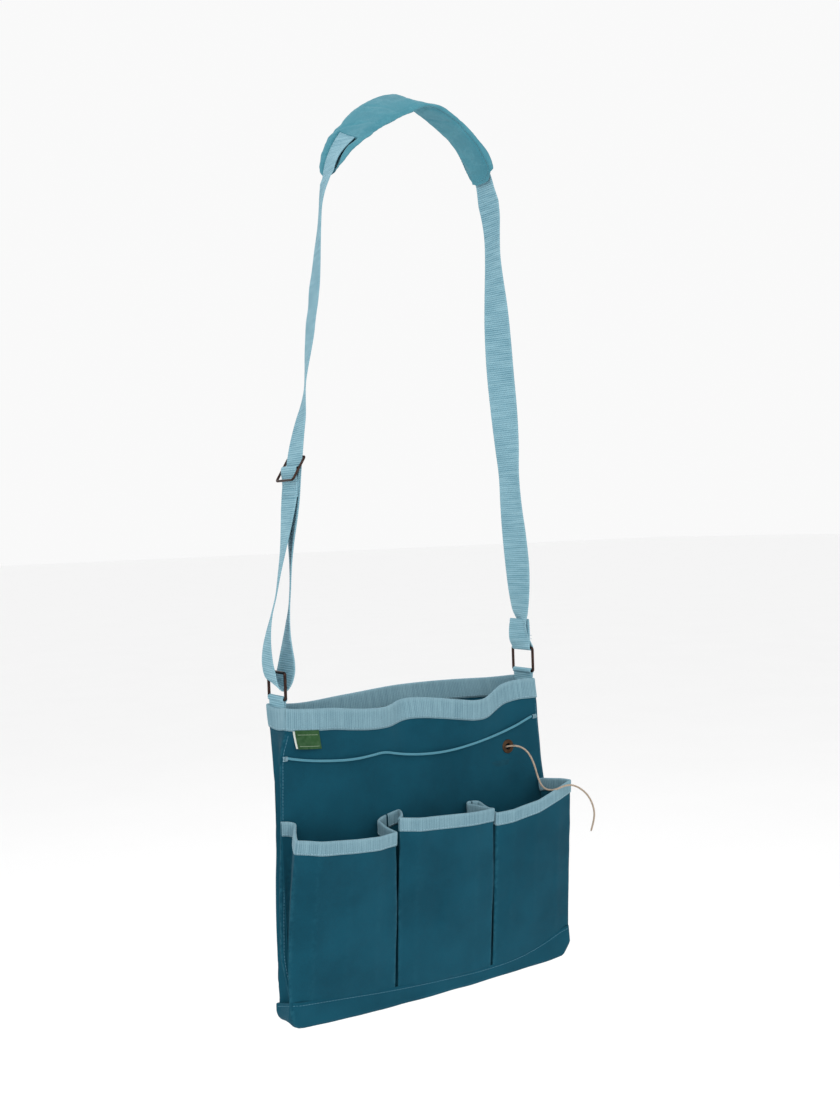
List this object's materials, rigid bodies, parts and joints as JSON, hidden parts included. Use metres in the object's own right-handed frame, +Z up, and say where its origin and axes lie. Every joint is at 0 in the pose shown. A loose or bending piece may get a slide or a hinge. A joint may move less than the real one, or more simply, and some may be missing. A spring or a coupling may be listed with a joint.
{
  "type": "garden tool bag",
  "caption": "Canvas garden tool bag with pleated front pockets, an elastic cord, a twine eyelet and an adjustable shoulder strap with a padded sleeve, hung on rectangular rings.",
  "frame": {"origin": "underside of the shoulder pad at its highest point, where a shoulder or a hook carries the bag", "axes": "+Z up along the hang, +X along the bag's width towards the eyelet side, -Y towards the pocketed front"},
  "size_m": [0.3835, 0.1136, 0.9684],
  "materials": {
    "canvas": "matte",
    "lining_canvas": "matte",
    "binding_webbing": "matte",
    "strap_webbing": "matte",
    "pad_suede": "matte",
    "pad_lining": "matte",
    "pad_foam": "matte",
    "bronze": "satin",
    "copper": "satin",
    "label": "matte",
    "elastic": "matte",
    "twine": "matte"
  },
  "bodies": {
    "strap": {"strap_over_shoulder": "strap_webbing", "strap_left": "strap_webbing", "strap_tail": "strap_webbing", "strap_right": "strap_webbing"},
    "pad": {"pad_lining": "pad_lining", "pad_foam": "pad_foam", "pad_cover": "pad_suede"},
    "slider": {"slider": "bronze", "strap_fold": "strap_webbing"},
    "ring_left": {"ring_left": "bronze"},
    "ring_right": {"ring_right": "bronze"},
    "bag": {"front_panel": "canvas", "back_panel": "canvas", "gusset_left": "canvas", "gusset_right": "canvas", "rim_binding_front": "binding_webbing", "rim_binding_back": "binding_webbing", "rim_binding_left": "binding_webbing", "rim_binding_right": "binding_webbing", "base_band": "canvas", "pocket_left": "canvas", "pocket_middle": "canvas", "pocket_right": "canvas", "pocket_binding_left": "binding_webbing", "pocket_binding_middle": "binding_webbing", "pocket_binding_right": "binding_webbing", "eyelet_flange": "copper", "eyelet_washer": "copper", "label_tag": "label", "elastic_cord": "elastic", "elastic_tack_left": "elastic", "elastic_tack_right": "elastic", "twine": "twine", "twine_ball": "twine", "twine_pocket": "lining_canvas", "ring_tab_left": "strap_webbing", "ring_tab_right": "strap_webbing"}
  },
  "joints": [
    {"name": "ring_left_rock", "type": "hinge", "parent": "strap", "child": "ring_left", "pos_m": [-0.1754, 0, -0.6052], "axis": [0, 1, 0], "range_deg": [-25, 25]},
    {"name": "bag_on_left_ring", "type": "hinge", "parent": "ring_left", "child": "bag", "pos_m": [-0.1754, 0, -0.632], "axis": [0, 1, 0], "range_deg": [-25, 25]},
    {"name": "ring_right_rock", "type": "hinge", "parent": "strap", "child": "ring_right", "pos_m": [0.1454, 0, -0.6052], "axis": [0, 1, 0], "range_deg": [-25, 25]},
    {"name": "slider_slide", "type": "slide", "parent": "strap", "child": "slider", "axis": [0.1236, 0, 0.9923], "range_m": [-0.1, 0.19], "deforming": ["strap_tail"]},
    {"name": "pad_slide", "type": "hinge", "parent": "strap", "child": "pad", "pos_m": [0, 0, -0.103], "axis": [0, 1, 0], "range_deg": [-8, 8]}
  ],
  "couplings": [
    {"joint": "ring_left_rock", "follows": "bag_on_left_ring", "ratio": -1},
    {"joint": "ring_right_rock", "follows": "bag_on_left_ring", "ratio": -1}
  ]
}
